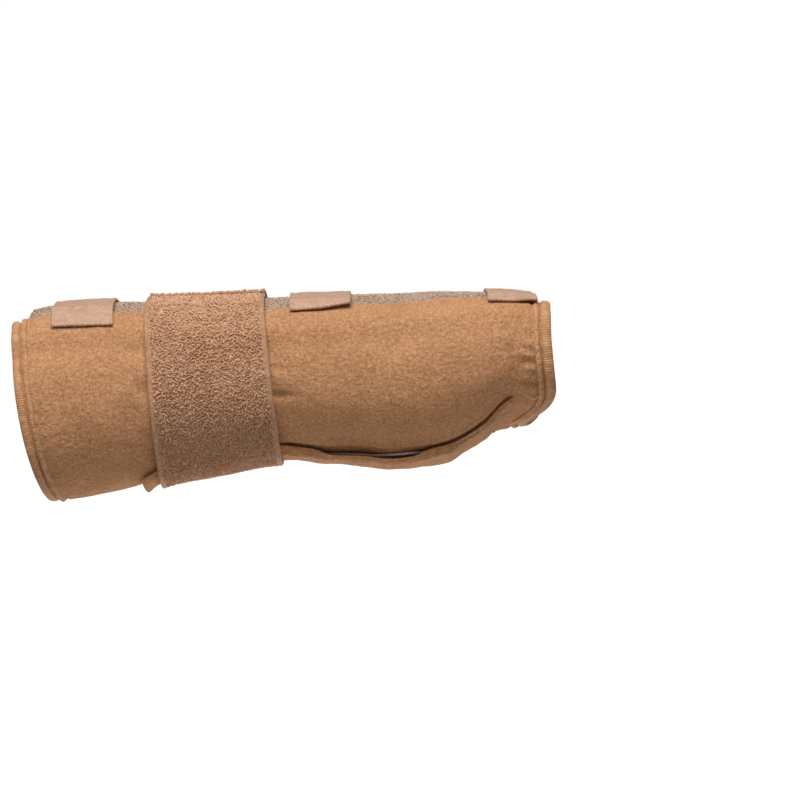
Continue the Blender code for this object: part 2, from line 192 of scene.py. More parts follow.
def lay(x, share, height):
    """Points at heights above the skin, square to it."""
    x, share, height = np.broadcast_arrays(*(np.asarray(value, float) for value in (x, share, height)))
    lift = (height - dent_depth(x, share))[..., None]
    return looked_up(SKIN, x, share) + looked_up(NORMALS, x, share) * lift


print(f"skin table {SKIN.shape[0]} by {SKIN.shape[1]}, girth at the cuff {GIRTHS[30] * 1000:.0f} mm")

# %% [markdown]
# ## Edges and laps
# The sleeve is cut to a slightly bowed edge at the forearm and to a notch under the palm, and its two long
# edges stay apart on the back of the hand, where the loop-faced strip shows. Where cloth lies on cloth it
# is lifted by the thickness of what is under it, over a short soft ramp.

# %% Edges of the pieces
PANEL_THICKNESS = 2.4 * MM
DORSAL_THICKNESS = 2.2 * MM
SEAT_GAP = 0.35 * MM
SEWN_GAP = 0.50 * MM
LAP_WIDTH = 8.0 * MM


def forearm_edge(share):
    return -FOREARM_LENGTH + 5.2 * MM * ((0.33 - np.cos(2 * math.pi * share)) / 1.33) ** 2


def knuckle_edge(share):
    aside = np.clip((share % 1.0 - 0.52) / 0.21, -1.0, 1.0)
    bow = 1.8 * MM * np.sin(2 * math.pi * share) ** 2
    return HAND_LENGTH - 12.5 * MM * np.cos(math.pi / 2 * aside) ** 2 - bow


def edge_reach(x):
    return lerp(21.0 * MM, 29.0 * MM, smooth(HAND_LENGTH / 4, HAND_LENGTH, x))


def near_edge(x):
    return edge_reach(x) / girth(x)


def far_edge(x):
    return 1.0 - near_edge(x)


def hidden_edge(x):
    return (edge_reach(x) + LAP_WIDTH) / girth(x)


def lap_height(x, share):
    arc = np.minimum(share % 1.0, 1.0 - share % 1.0) * girth(x)
    start = edge_reach(x) + LAP_WIDTH + SEAT_GAP
    return (DORSAL_THICKNESS + SEAT_GAP) * (1.0 - smooth(start, start + 9.0 * MM, arc))


def places_between(across, along, near, far, start, end):
    """Grids of x and share between two edges given at x and two ends given at a share."""
    across, along = np.meshgrid(across, along)
    share = lerp(near(0.0 * across), far(0.0 * across), across)
    for _ in range(5):
        x = lerp(start(share), end(share), along)
        share = lerp(near(x), far(x), across)
    return x, share


def steps_with_edges(length, spacing, rim=1.3 * MM):
    """Shares along a length, close together at both ends for a rounded edge, and even between them."""
    close = rim * np.array([0.0, 0.07, 0.2, 0.4, 0.65])
    middle = np.linspace(rim, length - rim, max(int(length / spacing), 2))
    return np.concatenate([close, middle, length - close[::-1]]) / length


# %% The stay and its pocket
PANEL_GAP = PANEL_THICKNESS + SEWN_GAP
POCKET_THICKNESS = 1.6 * MM
POCKET_HALF_WIDTH = 19.0 * MM
POCKET_START = -30.8 * MM
POCKET_END = HAND_LENGTH - 18.0 * MM
STAY_START = -10.0 * MM
STAY_END = HAND_LENGTH - 53.2 * MM
STAY_THICKNESS = 1.2 * MM
POCKET_EDGES = np.array([
    # station, little finger's edge, thumb's edge, as shares of the half width
    (-0.42, 1.06, 1.00),
    (0.18, 0.95, 1.00),
    (0.31, 0.88, 1.00),
    (0.42, 0.95, 0.95),
    (0.50, 1.02, 0.76),
    (0.58, 1.09, 0.40),
    (0.66, 1.17, 0.04),
    (0.735, 1.30, -0.14),
    (0.78, 1.46, -0.42),
    (0.825, 1.74, -1.15),
    (0.865, 1.96, -1.80),
])


def pocket_edge(x, column):
    return from_table(POCKET_EDGES, column, station_of(x)) * POCKET_HALF_WIDTH


def pocket_near(x):
    return 0.5 - pocket_edge(x, 1) / girth(x)


def pocket_far(x):
    return 0.5 + pocket_edge(x, 2) / girth(x)


def in_mouth(x):
    """1 along the slit that the stay goes in by, and 0 past its ends."""
    return smooth(36.0 * MM, 48.0 * MM, x) * (1.0 - smooth(72.0 * MM, 84.0 * MM, x))


def stay_near_arc(x):
    return lerp(4.0 * MM, 1.0 * MM, in_mouth(x)) - pocket_edge(x, 1)


def stay_far_arc(x):
    return pocket_edge(x, 2) - 4.0 * MM


def pocket_height(x, share):
    """The pocket's inner face, which rises over the stay and at its open ends."""
    arc = (share - 0.5) * girth(x)
    along = smooth(STAY_START - 14 * MM, STAY_START - 7 * MM, x)
    along = along * (1.0 - smooth(STAY_END + 7 * MM, STAY_END + 14 * MM, x))
    near, far = stay_near_arc(x), stay_far_arc(x)
    across = smooth(near - 4.0 * MM, near - 4.0 * MM / 3, arc)
    across = across * (1.0 - smooth(far + 4.0 * MM / 3, far + 4.0 * MM, arc))
    height = PANEL_GAP + (STAY_THICKNESS + SEAT_GAP) * along * across
    edge = -pocket_edge(x, 1)
    height = height + 1.0 * MM * (1.0 - smooth(edge, edge + 7.0 * MM, arc)) * in_mouth(x)
    return height + 0.9 * MM * (1.0 - smooth(POCKET_START, POCKET_START + 9.0 * MM, x))


# %% [markdown]
# ## Taut bands
# A strap that is pulled tight doesn't sink into hollows: it runs straight from one high place to the next,
# as the convex outline of what is under it. So the strap and the tabs are laid on the hull of each section,
# and their heights over the skin are read from a table of it.

# %% Where a taut band lies
def cover_height(x, share):
    share = share % 1.0
    height = PANEL_THICKNESS + lap_height(x, share)
    on_pocket = (pocket_near(x) < share) & (share < pocket_far(x)) & (POCKET_START < x) & (x < POCKET_END)
    height = np.where(on_pocket, np.maximum(height, pocket_height(x, share) + POCKET_THICKNESS), height)
    return np.where((share < near_edge(x)) | (share > far_edge(x)), DORSAL_THICKNESS, height)


def convex_outline(points):
    """The corners of the hull of points in a plane, going round it."""
    points = sorted(map(tuple, points))
    outline = []
    for row in (points, points[::-1]):
        chain = []
        for point in row:
            while len(chain) > 1:
                (ay, az), (by, bz) = chain[-2], chain[-1]
                if (by - ay) * (point[1] - az) - (bz - az) * (point[0] - ay) > 0:
                    break
                chain.pop()
            chain.append(point)
        outline += chain[:-1]
    return np.array(outline)


def band_table(start, end):
    """A function for the height of a taut band over the skin, between two places along the arm."""
    stations = np.arange(start - 6 * MM, end + 6.5 * MM, 1.0 * MM)
    shares = np.linspace(0.0, 1.0, 361)
    around = np.arange(240) / 240
    heights = np.zeros((len(stations), len(shares)))
    for row, x in enumerate(stations):
        hull = convex_outline(lay(x, around, cover_height(np.full(240, x), around))[:, 1:])
        side = np.roll(hull, -1, axis=0) - hull
        out = np.stack([side[:, 1], -side[:, 0]], axis=1)
        out /= np.linalg.norm(out, axis=1, keepdims=True)
        begin = lay(x, shares, 0.0)[:, 1:]
        way = looked_up(NORMALS, np.full(361, x), shares)[:, 1:]
        slope = way @ out.T
        gap = (hull * out).sum(axis=1)[None, :] - begin @ out.T
        heights[row] = np.where(slope > 1e-6, gap / np.maximum(slope, 1e-6), np.inf).min(axis=1)

    def height_of(x, share):
        best = None
        for aside in (-5.0 * MM, 0.0, 5.0 * MM):
            for turn in (-2.0 * MM, 0.0, 2.0 * MM):
                row = np.clip((x + aside - stations[0]) / (1.0 * MM), 0, len(stations) - 1.001)
                column = ((share + turn / girth(x)) % 1.0) * 360
                r, c = np.floor(row).astype(int), np.minimum(np.floor(column).astype(int), 359)
                dr, dc = row - r, column - c
                value = (heights[r, c] * (1 - dc) + heights[r, c + 1] * dc) * (1 - dr)
                value = value + (heights[r + 1, c] * (1 - dc) + heights[r + 1, c + 1] * dc) * dr
                best = value if best is None else np.maximum(best, value)
        return best + SEAT_GAP

    return height_of


# %% [markdown]
# ## Meshes for cloth
# A cut piece of padded cloth is a slab: an outer face, an inner face, and an edge that the sewing machine
# rounds over. It is made as a grid of places, whose thickness falls to nothing at its rim along a quarter
# circle. A folded tape is a tube with a flattened section, and a stitch is a short thread that goes down
# into the cloth at both ends. Working the points out as arrays keeps these fine meshes quick to make.

# %% Helpers for meshes
def made_piece(name, points, faces, finish, flat_uv=None):
    """A mesh object that rides with the brace and takes the given finish as its material."""
    mesh = bpy.data.meshes.new(name)
    mesh.from_pydata(np.asarray(points).tolist(), [], np.asarray(faces).tolist() if len(faces) else [])
    if flat_uv is not None:
        layer = mesh.uv_layers.new(name="cut_metres")
        corner = np.zeros(len(mesh.loops), dtype=np.int32)
        mesh.loops.foreach_get("vertex_index", corner)
        layer.data.foreach_set("uv", np.asarray(flat_uv, np.float32)[corner].ravel())
    mesh.materials.append(finish)
    mesh.shade_smooth()
    piece = bpy.data.objects.new(name, mesh)
    bpy.context.scene.collection.objects.link(piece)
    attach(piece, "root")
    return piece


def run_lengths(points, axis):
    """How far along the grid each point is, from its first row or column."""
    steps = np.linalg.norm(np.diff(points, axis=axis), axis=2)
    first = np.zeros_like(np.take(steps, [0], axis=axis))
    return np.concatenate([first, np.cumsum(steps, axis=axis)], axis=axis)


def cloth_slab(
    name, x, share, inner, thickness, finish, relief=0.0, rim=1.2 * MM, opening=None, straight=False
):
    """A closed piece of cloth with a rounded rim, and a hole where opening gives its places and size."""
    middle = lay(x, share, inner + thickness / 2)
    along, across = run_lengths(middle, 0), run_lengths(middle, 1)
    inset = np.minimum(
        np.minimum(across, across[:, -1:] - across), np.minimum(along, along[-1:] - along)
    )
    if opening is not None:
        inset = np.minimum(inset, np.maximum(opening, 0.0))
    full = np.sqrt(1.0 - (1.0 - np.clip(inset / rim, 0.0, 1.0)) ** 2)
    outer = lay(x, share, inner + thickness / 2 + full * (thickness / 2 + relief))
    under = lay(x, share, inner + thickness / 2 - full * thickness / 2)
    if straight:
        outer[..., 0] = under[..., 0] = x
    rows, columns = x.shape
    top = np.arange(rows * columns).reshape(rows, columns)
    on_rim = full < 1e-6
    low = np.where(on_rim, top, top + rows * columns)
    quads = np.stack([top[:-1, :-1], top[:-1, 1:], top[1:, 1:], top[1:, :-1]], axis=2)
    low_quads = np.stack([low[:-1, :-1], low[1:, :-1], low[1:, 1:], low[:-1, 1:]], axis=2)
    kept = np.ones(quads.shape[:2], bool)
    if opening is not None:
        away = opening <= 1e-9
        kept = ~(away[:-1, :-1] & away[:-1, 1:] & away[1:, 1:] & away[1:, :-1])
    faces = np.concatenate([quads[kept], low_quads[kept]])
    points = np.concatenate([outer.reshape(-1, 3), under.reshape(-1, 3)])
    flat_uv = np.stack([along.ravel(), across.ravel()], axis=1)
    used = np.unique(faces)
    renumbered = np.zeros(len(points), int)
    renumbered[used] = np.arange(len(used))
    piece = made_piece(
        name, points[used], renumbered[faces], finish, np.concatenate([flat_uv, flat_uv])[used]
    )
    print(f"{name}: {len(faces) * 2} triangles")
    return piece, outer


def folded_tape(
    name, centre, out, half_width, half_thickness, finish, closed=False, pucker=0.0, onto=None
):
    """A tape folded over an edge: a flattened tube along a line, with a small pucker at each stitch.

    Where onto is given, the fold is more of that tape, and joins its mesh.
    """
    ahead = np.roll(centre, -1, axis=0) - np.roll(centre, 1, axis=0)
    if not closed:
        ahead[0], ahead[-1] = centre[1] - centre[0], centre[-1] - centre[-2]
    ahead /= np.linalg.norm(ahead, axis=1, keepdims=True)
    aside = np.cross(ahead, out)
    aside /= np.linalg.norm(aside, axis=1, keepdims=True)
    up = np.cross(aside, ahead)
    run = np.concatenate([[0.0], np.cumsum(np.linalg.norm(np.diff(centre, axis=0), axis=1))])
    angles = np.linspace(0.0, 2 * math.pi, 16, endpoint=False)
    flat = np.sign(np.cos(angles)) * np.abs(np.cos(angles)) ** (2 / 2.6)
    high = np.sign(np.sin(angles)) * np.abs(np.sin(angles)) ** (2 / 2.6)
    swell = 1.0 + pucker * np.cos(2 * math.pi * run / (2.8 * MM)) * 0.5
    swell = swell + pucker * np.sin(2 * math.pi * run / (11.0 * MM) + 1.3) * 0.4
    ends = np.ones(len(centre))
    if not closed:
        to_end = np.minimum(run, run[-1] - run)
        ends = np.sqrt(1.0 - (1.0 - np.clip(to_end / (1.4 * MM), 0.0, 1.0)) ** 2) * 0.97 + 0.03
    rings = (
        centre[:, None]
        + aside[:, None] * flat[None, :, None] * (half_width * ends)[:, None, None]
        + up[:, None] * high[None, :, None] * (half_thickness * swell * ends)[:, None, None]
    )
    count, sides = rings.shape[:2]
    number = np.arange(count * sides).reshape(count, sides)
    after = np.roll(number, -1, axis=1)
    last = count if closed else count - 1
    following = np.roll(number, -1, axis=0)[:last]
    faces = np.stack(
        [number[:last], after[:last], np.roll(following, -1, axis=1), following], axis=2
    ).reshape(-1, 4)
    faces = faces[:, ::-1].tolist()
    if not closed:
        faces += [number[0].tolist(), number[-1][::-1].tolist()]
    mesh = bpy.data.meshes.new(name)
    mesh.from_pydata(rings.reshape(-1, 3).tolist(), [], faces)
    layer = mesh.uv_layers.new(name="cut_metres")
    flat_uv = np.stack(
        [np.repeat(run, sides), np.tile(np.arange(sides) * 0.7 * MM, count)], axis=1
    ).astype(np.float32)
    corner = np.zeros(len(mesh.loops), dtype=np.int32)
    mesh.loops.foreach_get("vertex_index", corner)
    layer.data.foreach_set("uv", flat_uv[corner].ravel())
    mesh.materials.append(finish)
    mesh.shade_smooth()
    print(f"{name}: {len(faces) * 2} triangles, {run[-1] * 1000:.0f} mm long")
    if onto is not None:
        both = bmesh.new()
        both.from_mesh(onto.data)
        both.from_mesh(mesh)
        both.to_mesh(onto.data)
        both.free()
        return onto
    piece = bpy.data.objects.new(name, mesh)
    bpy.context.scene.collection.objects.link(piece)
    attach(piece, "root")
    return piece


def threads(name, lines, radius, finish, sides=5):
    """Short threads, each given as a line of points, joined in one mesh."""
    lines = np.asarray(lines)
    count, steps = lines.shape[:2]
    ahead = np.gradient(lines, axis=1)
    ahead /= np.maximum(np.linalg.norm(ahead, axis=2, keepdims=True), 1e-12)
    guide = np.tile(np.array([0.31, 0.87, 0.39]), (count, steps, 1))
    aside = np.cross(ahead, guide)
    aside /= np.maximum(np.linalg.norm(aside, axis=2, keepdims=True), 1e-12)
    up = np.cross(aside, ahead)
    angles = np.linspace(0.0, 2 * math.pi, sides, endpoint=False)
    ring = (
        aside[:, :, None] * np.cos(angles)[None, None, :, None]
        + up[:, :, None] * np.sin(angles)[None, None, :, None]
    )
    points = lines[:, :, None] + ring * radius
    number = np.arange(count * steps * sides).reshape(count, steps, sides)
    after = np.roll(number, -1, axis=2)
    faces = np.stack(
        [number[:, :-1], number[:, 1:], after[:, 1:], after[:, :-1]], axis=3
    ).reshape(-1, 4)
    piece = made_piece(name, points.reshape(-1, 3), faces[:, ::-1], finish)
    print(f"{name}: {len(faces) * 2} triangles in {count} threads")
    return piece


def stitches_on(line, out, pitch, length, rise=0.18 * MM, sink=0.25 * MM):
    """Lines of points for stitches along a line of the cloth, each going down into it at both ends."""
    run = np.concatenate([[0.0], np.cumsum(np.linalg.norm(np.diff(line, axis=0), axis=1))])
    starts = np.arange(pitch / 2, run[-1] - pitch, pitch)
    shares = np.array([0.0, 0.12, 0.35, 0.65, 0.88, 1.0])
    lift = np.array([-1.0, 0.3, 1.0, 1.0, 0.3, -1.0])
    height = np.where(lift > 0, lift * rise, lift * sink)
    places = starts[:, None] + shares[None] * length
    made = np.stack([np.interp(places, run, line[:, axis]) for axis in range(3)], axis=2)
    way = np.stack([np.interp(places, run, out[:, axis]) for axis in range(3)], axis=2)
    return made + way * height[None, :, None]


# %% [markdown]
# ## Cloth and metal
# Brushed laminate, loop-faced knit, looped strap, hook tape and binding tape are all dyed polyester or
# nylon, so they share a rough surface with a soft sheen. What tells them apart is how the yarn lies: a
# nap of short fibres, rows of loops, twill lines, or ribs. Each of those is a pattern whose scale comes
# from a real size in millimetres, used for both the colour and the bump.

# %% Colours and nodes
def linear(hex_code):
    """An sRGB hex colour as linear values."""
    values = [int(hex_code[place:place + 2], 16) / 255 for place in (1, 3, 5)]
    made = [value / 12.92 if value <= 0.04045 else ((value + 0.055) / 1.055) ** 2.4 for value in values]
    return (*made, 1.0)


def add(tree, kind, links=None, **settings):
    """A node with its settings, and its inputs linked or set by name or number."""
    node = tree.nodes.new(kind)
    for name, value in settings.items():
        setattr(node, name, value)
    for name, value in (links or {}).items():
        if isinstance(value, bpy.types.NodeSocket):
            tree.links.new(value, node.inputs[name])
        else:
            node.inputs[name].default_value = value
    return node


def new_cloth(name, roughness, sheen, sheen_hex, sheen_roughness=0.5):
    """A cloth material's tree and shader, with the numbers that are the same all over."""
    made = bpy.data.materials.new(name)
    made.use_nodes = True
    tree = made.node_tree
    shader = tree.nodes["Principled BSDF"]
    shader.inputs["Roughness"].default_value = roughness
    shader.inputs["Specular IOR Level"].default_value = 0.2
    shader.inputs["Sheen Weight"].default_value = sheen
    shader.inputs["Sheen Roughness"].default_value = sheen_roughness
    shader.inputs["Sheen Tint"].default_value = linear(sheen_hex)
    return made, tree, shader


def mottled(tree, place, stops, scale, detail=3.0, roughness=0.6):
    """A noise through a colour ramp, whose stops are pairs of place and hex colour."""
    spread = add(
        tree, "ShaderNodeTexNoise",
        {"Vector": place, "Scale": scale, "Detail": detail, "Roughness": roughness},
    )
    ramp = add(tree, "ShaderNodeValToRGB", {"Fac": spread.outputs["Fac"]})
    ramp.color_ramp.elements[0].position = stops[0][0]
    ramp.color_ramp.elements[0].color = linear(stops[0][1])
    ramp.color_ramp.elements[1].position = stops[-1][0]
    ramp.color_ramp.elements[1].color = linear(stops[-1][1])
    for position, hex_code in stops[1:-1]:
        ramp.color_ramp.elements.new(position).color = linear(hex_code)
    return ramp.outputs["Color"]


def per_metre(millimetres):
    """The scale of a pattern whose parts are that many millimetres across."""
    return 1000.0 / millimetres


# %% [markdown]
# ### Brushed laminate
# The sleeve is a thin foam between two knits, and its outer knit is brushed until the fibres stand up in a
# short nap. The nap hides the knit and catches the light in small clouds, so the colour is mottled at one
# to six millimetres, with a fine fibre bump over it that is drawn at 0.5 mm, coarser than the real 0.05 mm.

# %% Brushed laminate
def brushed_laminate():
    made, tree, shader = new_cloth("brushed_laminate", 0.92, 0.25, "#E8C6A6")
    place = add(tree, "ShaderNodeTexCoord").outputs["Object"]
    clouds = mottled(
        tree, place, [(0.30, "#B5825A"), (0.50, "#C48F66"), (0.72, "#D09C73")], per_metre(14.0), 4.0, 0.6
    )
    nap = mottled(tree, place, [(0.34, "#93633F"), (0.52, "#C38F66"), (0.70, "#E8BA93")], per_metre(1.1), 4.0, 0.7)
    colour = add(tree, "ShaderNodeMix", {"Factor": 0.55}, data_type="RGBA")
    tree.links.new(clouds, colour.inputs["A"])
    tree.links.new(nap, colour.inputs["B"])
    tree.links.new(colour.outputs["Result"], shader.inputs["Base Color"])
    fibres = add(
        tree, "ShaderNodeTexNoise",
        {"Vector": place, "Scale": per_metre(0.7), "Detail": 4.0, "Roughness": 0.75, "Distortion": 0.8},
    )
    tufts = add(
        tree, "ShaderNodeTexNoise",
        {"Vector": place, "Scale": per_metre(1.6), "Detail": 2.0, "Roughness": 0.6},
    )
    low = add(
        tree, "ShaderNodeBump",
        {"Height": tufts.outputs["Fac"], "Strength": 0.8, "Distance": 0.9 * MM},
    )
    fine = add(
        tree, "ShaderNodeBump",
        {"Height": fibres.outputs["Fac"], "Normal": low.outputs["Normal"], "Strength": 0.7, "Distance": 0.5 * MM},
    )
    tree.links.new(fine.outputs["Normal"], shader.inputs["Normal"])
    return made


# %% [markdown]
# ### Loop pile and loop-faced knit
# The wrist strap is faced with a coarse loop pile that the hooks can catch, and the strip on the back of
# the hand with a finer one. The loops themselves are built as threads, so these materials only give the
# ground cloth and the yarn their colour, with a darker ground where the light doesn't reach.

# %% Yarn and ground cloths
def yarn(name, stops, grain_mm, sheen=0.35, roughness=0.85):
    made, tree, shader = new_cloth(name, roughness, sheen, "#F0D8C2")
    place = add(tree, "ShaderNodeTexCoord").outputs["Object"]
    tree.links.new(mottled(tree, place, stops, per_metre(grain_mm), 3.0, 0.6), shader.inputs["Base Color"])
    twist = add(
        tree, "ShaderNodeTexNoise", {"Vector": place, "Scale": per_metre(0.4), "Detail": 2.0}
    )
    bump = add(
        tree, "ShaderNodeBump", {"Height": twist.outputs["Fac"], "Strength": 0.4, "Distance": 0.15 * MM}
    )
    tree.links.new(bump.outputs["Normal"], shader.inputs["Normal"])
    return made


# %% [markdown]
# ### Woven tapes
# Hook tape and binding tape are narrow wovens. A weave follows the tape, so its pattern runs on the UV map,
# which holds the distance along and across the cut tape in metres. The valleys between the ribs get painted
# shade in the colour.

# %% Woven tapes
def woven_tape(name, stops, rib_mm, along, twill, depth_mm, sheen=0.25, roughness=0.75):
    """A tape with ribs that are rib_mm apart; along turns them and twill leans them."""
    made, tree, shader = new_cloth(name, roughness, sheen, "#F3DCC8")
    place = add(tree, "ShaderNodeTexCoord").outputs["Object"]
    cut = add(tree, "ShaderNodeUVMap", uv_map="cut_metres").outputs["UV"]
    turned = add(
        tree, "ShaderNodeMapping", {"Vector": cut, "Rotation": (0.0, 0.0, along + twill)}
    )
    ribs = add(
        tree, "ShaderNodeTexWave",
        {"Vector": turned.outputs["Vector"], "Scale": per_metre(rib_mm) / 10 * math.pi, "Distortion": 0.5,
         "Detail": 1.0, "Detail Scale": 2.0},
        wave_type="BANDS", bands_direction="X",
    )
    ground = mottled(tree, place, stops, per_metre(2.5), 4.0, 0.65)
    # painted shade: where the rib height is low, the colour is mixed toward the darkest stop, standing in for shade in
    # the rib valleys
    rib_valley_shade = add(tree, "ShaderNodeMix", {"Factor": ribs.outputs["Fac"]}, data_type="RGBA")
    rib_valley_shade.inputs["A"].default_value = linear(stops[0][1])
    tree.links.new(ground, rib_valley_shade.inputs["B"])
    colour = add(tree, "ShaderNodeMix", {"Factor": 0.45}, data_type="RGBA")
    tree.links.new(ground, colour.inputs["A"])
    tree.links.new(rib_valley_shade.outputs["Result"], colour.inputs["B"])
    tree.links.new(colour.outputs["Result"], shader.inputs["Base Color"])
    fuzz = add(tree, "ShaderNodeTexNoise", {"Vector": place, "Scale": per_metre(0.7), "Detail": 3.0})
    low = add(
        tree, "ShaderNodeBump",
        {"Height": ribs.outputs["Fac"], "Strength": 0.8, "Distance": depth_mm * MM},
    )
    fine = add(
        tree, "ShaderNodeBump",
        {"Height": fuzz.outputs["Fac"], "Normal": low.outputs["Normal"], "Strength": 0.5, "Distance": 0.3 * MM},
    )
    tree.links.new(fine.outputs["Normal"], shader.inputs["Normal"])
    return made


# %% [markdown]
# ### Aluminium
# The stay is cut from sheet aluminium and tumbled, so it is bright, with faint long rolling lines.

# %% Aluminium
def tumbled_aluminium():
    made = bpy.data.materials.new("tumbled_aluminium")
    made.use_nodes = True
    tree = made.node_tree
    shader = tree.nodes["Principled BSDF"]
    shader.inputs["Metallic"].default_value = 1.0
    shader.inputs["Base Color"].default_value = linear("#D9DADC")
    place = add(tree, "ShaderNodeTexCoord").outputs["Object"]
    drawn = add(tree, "ShaderNodeMapping", {"Vector": place, "Scale": (0.05, 1.0, 1.0)})
    lines = add(
        tree, "ShaderNodeTexNoise",
        {"Vector": drawn.outputs["Vector"], "Scale": per_metre(0.6), "Detail": 2.0},
    )
    span = add(
        tree, "ShaderNodeMapRange",
        {"Value": lines.outputs["Fac"], "To Min": 0.26, "To Max": 0.44},
    )
    tree.links.new(span.outputs["Result"], shader.inputs["Roughness"])
    bump = add(
        tree, "ShaderNodeBump", {"Height": lines.outputs["Fac"], "Strength": 0.15, "Distance": 0.05 * MM}
    )
    tree.links.new(bump.outputs["Normal"], shader.inputs["Normal"])
    return made


SLEEVE = brushed_laminate()
STRAP_GROUND = yarn("strap_ground_knit", [(0.35, "#A67C5D"), (0.65, "#C49A7A")], 1.5)
STRAP_YARN = yarn("strap_loop_yarn", [(0.30, "#C69676"), (0.52, "#DDAE8C"), (0.72, "#F0C8A8")], 2.2)
DORSAL_GROUND = yarn("loop_faced_ground", [(0.35, "#A08876"), (0.65, "#B89F8C")], 1.2)
DORSAL_YARN = yarn("loop_faced_yarn", [(0.30, "#B59B87"), (0.55, "#CCB29F"), (0.75, "#DCC6B5")], 2.0)
HOOK_TAPE = woven_tape(
    "woven_hook_tape", [(0.28, "#B58C74"), (0.5, "#C9A48D"), (0.75, "#D8B59F")], 1.3, 0.0, 0.75, 0.25
)
BINDING = woven_tape(
    "woven_binding_tape", [(0.28, "#AD7B55"), (0.5, "#C8966C"), (0.75, "#DCAE85")], 0.9, 0.0, 0.0, 0.15
)
THREAD = yarn("sewing_thread", [(0.35, "#C08E66"), (0.65, "#DDB088")], 3.0, 0.2, 0.7)
METAL = tumbled_aluminium()

# %% [markdown]
# ## The sleeve
# The real one is cut flat, bent round the arm and bound at its ends. Cloth that is bent and sewn never lies
# smooth: it ripples next to each seam, where the thread draws it in, and it bunches where the strap
# squeezes it. Those ripples follow the seams, so each is a wave along a seam that dies away from it. They
# are worked out in code and not by a cloth simulation, because they are shallower than a millimetre and
# have to stay where the seams are.

# %% Relief of the sleeve
def wavy(x, share, size, seed=0.0):
    """Soft noise on the sleeve, from about -1 to 1, whose humps are a size across."""
    points = lay(x, share, 0.0).reshape(-1, 3) / size + seed
    return np.array([noise.noise(Vector(point)) for point in points]).reshape(x.shape) * 2.0


def ridge(distance, centre, width):
    return np.exp(-((distance - centre) / width) ** 2)


CREASES = [
    # x, share round, length along the arm, breadth round it, depth
    (27.0 * MM, 0.285, 5.5 * MM, 1.3 * MM, 1.5 * MM),
    (28.0 * MM, 0.325, 6.0 * MM, 7.0 * MM, 1.0 * MM),
    (26.5 * MM, 0.232, 3.0 * MM, 1.0 * MM, 0.8 * MM),
    (-23.5 * MM, 0.245, 3.5 * MM, 3.0 * MM, 1.0 * MM),
    (116.0 * MM, 0.283, 1.2 * MM, 4.5 * MM, 1.2 * MM),
    (121.0 * MM, 0.262, 3.5 * MM, 1.3 * MM, 0.9 * MM),
    (122.0 * MM, 0.300, 3.0 * MM, 1.5 * MM, 0.8 * MM),
    (119.0 * MM, 0.330, 2.5 * MM, 2.0 * MM, 0.9 * MM),
]


def sleeve_relief(x, share):
    """How far the outer face stands off its even thickness."""
    arc = share * girth(x)
    from_cuff = x - forearm_edge(share)
    from_knuckle = knuckle_edge(share) - x
    uneven = wavy(x, share, 16 * MM)
    relief = 0.28 * MM * wavy(x, share, 13 * MM, 7.1) + 0.10 * MM * wavy(x, share, 4 * MM, 3.3)
    relief = relief - 0.9 * MM * ridge(from_cuff, 3.6 * MM, 0.8 * MM) - 0.6 * MM * ridge(from_cuff, 6.4 * MM, 0.6 * MM)
    relief = relief - 0.9 * MM * ridge(from_knuckle, 4.3 * MM, 0.8 * MM) - 0.7 * MM * ridge(from_knuckle, 7.0 * MM, 0.7 * MM)
    ripple = np.sin(2 * math.pi * arc / (5.2 * MM) + 3 * uneven)
    relief = relief + 0.30 * MM * ripple * ridge(from_knuckle, 9 * MM, 4 * MM)
    relief = relief + 0.14 * MM * ripple * ridge(from_cuff, 8.5 * MM, 3 * MM)
    bunch = np.sin(2 * math.pi * arc / (11 * MM) + 4 * uneven)
    for edge, way in ((24.0 * MM, 1.0), (-24.0 * MM, -1.0)):
        off = (x - edge) * way
        relief = relief + 0.40 * MM * bunch * smooth(-3 * MM, 2 * MM, off) * np.exp(-np.maximum(off, 0) / (6 * MM))
    by_pocket = (pocket_near(x) - share) * girth(x)
    along_pocket = smooth(24 * MM, 30 * MM, x) * (1.0 - smooth(112 * MM, 117 * MM, x))
    margin = 0.9 * MM * ridge(by_pocket, 3.4 * MM, 1.8 * MM) - 0.8 * MM * ridge(by_pocket, 0.4 * MM, 1.1 * MM)
    relief = relief + margin * along_pocket
    crimp = 0.18 * MM * np.sin(2 * math.pi * x / (5.5 * MM) + 3 * uneven) * ridge(by_pocket, 4.5 * MM, 3 * MM)
    relief = relief + crimp * along_pocket
    edge_arc = (share - near_edge(x)) * girth(x)
    relief = relief - 0.35 * MM * ridge(edge_arc, 2.6 * MM, 0.7 * MM)
    for place, around, length, breadth, depth in CREASES:
        away = np.hypot((x - place) / length, (share - around) * girth(x) / breadth)
        relief = relief - depth * np.exp(-away ** 2)
    return relief


# %% The thumb hole's outline
HOLE_PLACE = HAND_LENGTH - 44.8 * MM
HOLE_FROM_SOLE = 36.0 * MM
HOLE_HALF_LENGTH = 21.0 * MM
HOLE_HALF_GIRTH = 30.0 * MM
HOLE_SLANT = 6.0 * MM


def hole_size(x, share):
    """0 on the outline inside the binding, and the distance outwards from it, in metres, roughly."""
    around = (share - 0.5) * girth(HOLE_PLACE) - HOLE_FROM_SOLE
    along = x - HOLE_PLACE + HOLE_SLANT * around / HOLE_HALF_GIRTH
    reach = np.hypot(along / HOLE_HALF_LENGTH, around / HOLE_HALF_GIRTH)
    return (reach - 1.0) * np.hypot(along, around) / np.maximum(reach, 1e-6)


def thumb_outline(grow, steps):
    """Places x and share round the hole, grown by a width."""
    angle = np.linspace(0.0, 2 * math.pi, steps, endpoint=False)
    around = (HOLE_HALF_GIRTH + grow) * np.sin(angle)
    x = HOLE_PLACE + (HOLE_HALF_LENGTH + grow) * np.cos(angle) - HOLE_SLANT * np.sin(angle)
    return x, 0.5 + (HOLE_FROM_SOLE + around) / girth(HOLE_PLACE)


